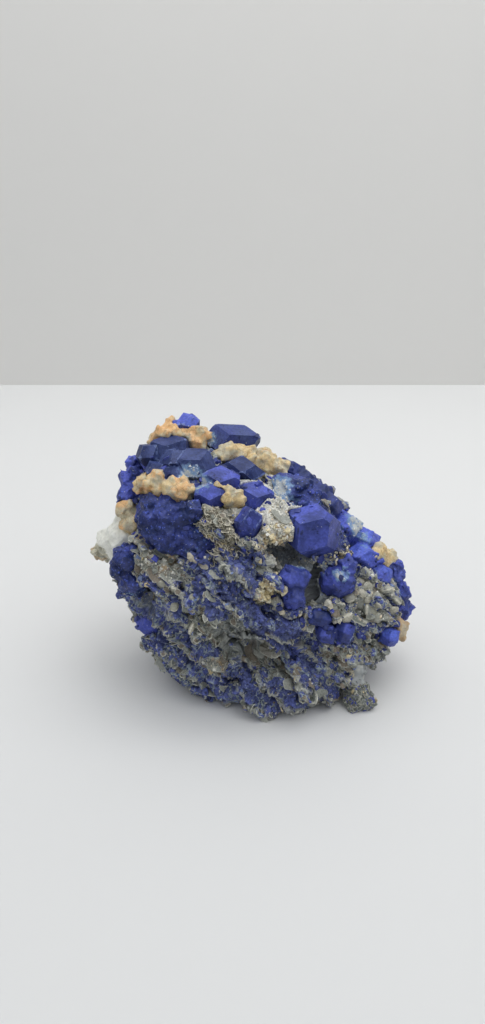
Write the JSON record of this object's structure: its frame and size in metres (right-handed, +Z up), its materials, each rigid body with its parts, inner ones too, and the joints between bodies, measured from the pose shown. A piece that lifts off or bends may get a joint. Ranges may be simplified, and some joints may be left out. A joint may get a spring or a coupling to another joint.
{
  "type": "lazurite specimen",
  "caption": "Mineral specimen with blue dodecahedral lazurite crystals and tan and white calcite grown on a layered grey mica rock.",
  "frame": {"origin": "on the resting plane, under the middle of the specimen's bounding box", "axes": "+Z up, +X to the right and +Y to the back for someone who faces the crystals"},
  "size_m": [0.0908, 0.059, 0.0744],
  "materials": {
    "lazurite": "dull to slightly waxy crystal faces with a fine frosting",
    "mica_rock": "rough layered mica with a soft glint",
    "tan_calcite": "grainy and slightly waxy",
    "white_calcite": "milky and slightly translucent"
  },
  "bodies": {
    "root": {"lazurite_long_crystal": "lazurite", "lazurite_summit_crystals": "lazurite", "lazurite_crown_group": "lazurite", "lazurite_cleft_crystal": "lazurite", "lazurite_ridge_crystals": "lazurite", "lazurite_six_sided_crystal": "lazurite", "lazurite_front_crystal": "lazurite", "lazurite_large_crystal": "lazurite", "lazurite_rounded_crystal": "lazurite", "lazurite_slope_crystals": "lazurite", "tan_calcite_shoulder": "tan_calcite", "lazurite_shoulder_crystals": "lazurite", "lazurite_cave_crystals": "lazurite", "lazurite_upper_blade": "lazurite", "lazurite_twin_blades": "lazurite", "lazurite_corner_crystal": "lazurite", "lazurite_left_clump": "lazurite", "lazurite_lower_left_crystals": "lazurite", "white_calcite_foot": "white_calcite", "tan_calcite_summit": "tan_calcite", "tan_calcite_ridge": "tan_calcite", "tan_calcite_front": "tan_calcite", "tan_calcite_cluster_left": "tan_calcite", "tan_calcite_left_patch": "tan_calcite", "tan_calcite_corner": "tan_calcite", "lazurite_back_crystal": "lazurite", "lazurite_back_group": "lazurite", "lazurite_back_pair": "lazurite", "lazurite_back_low_pair": "lazurite", "lazurite_crest_pair": "lazurite", "lazurite_right_crystals": "lazurite", "tan_calcite_back": "tan_calcite", "tan_calcite_back_low": "tan_calcite", "white_calcite_back": "white_calcite", "lazurite_back_mass": "lazurite", "lazurite_rough_mass_left": "lazurite", "lazurite_rough_mass_right": "lazurite", "lazurite_left_column": "lazurite", "lazurite_edge_beads_right": "lazurite", "white_calcite_corner": "white_calcite", "matrix": "mica_rock"}
  },
  "joints": []
}
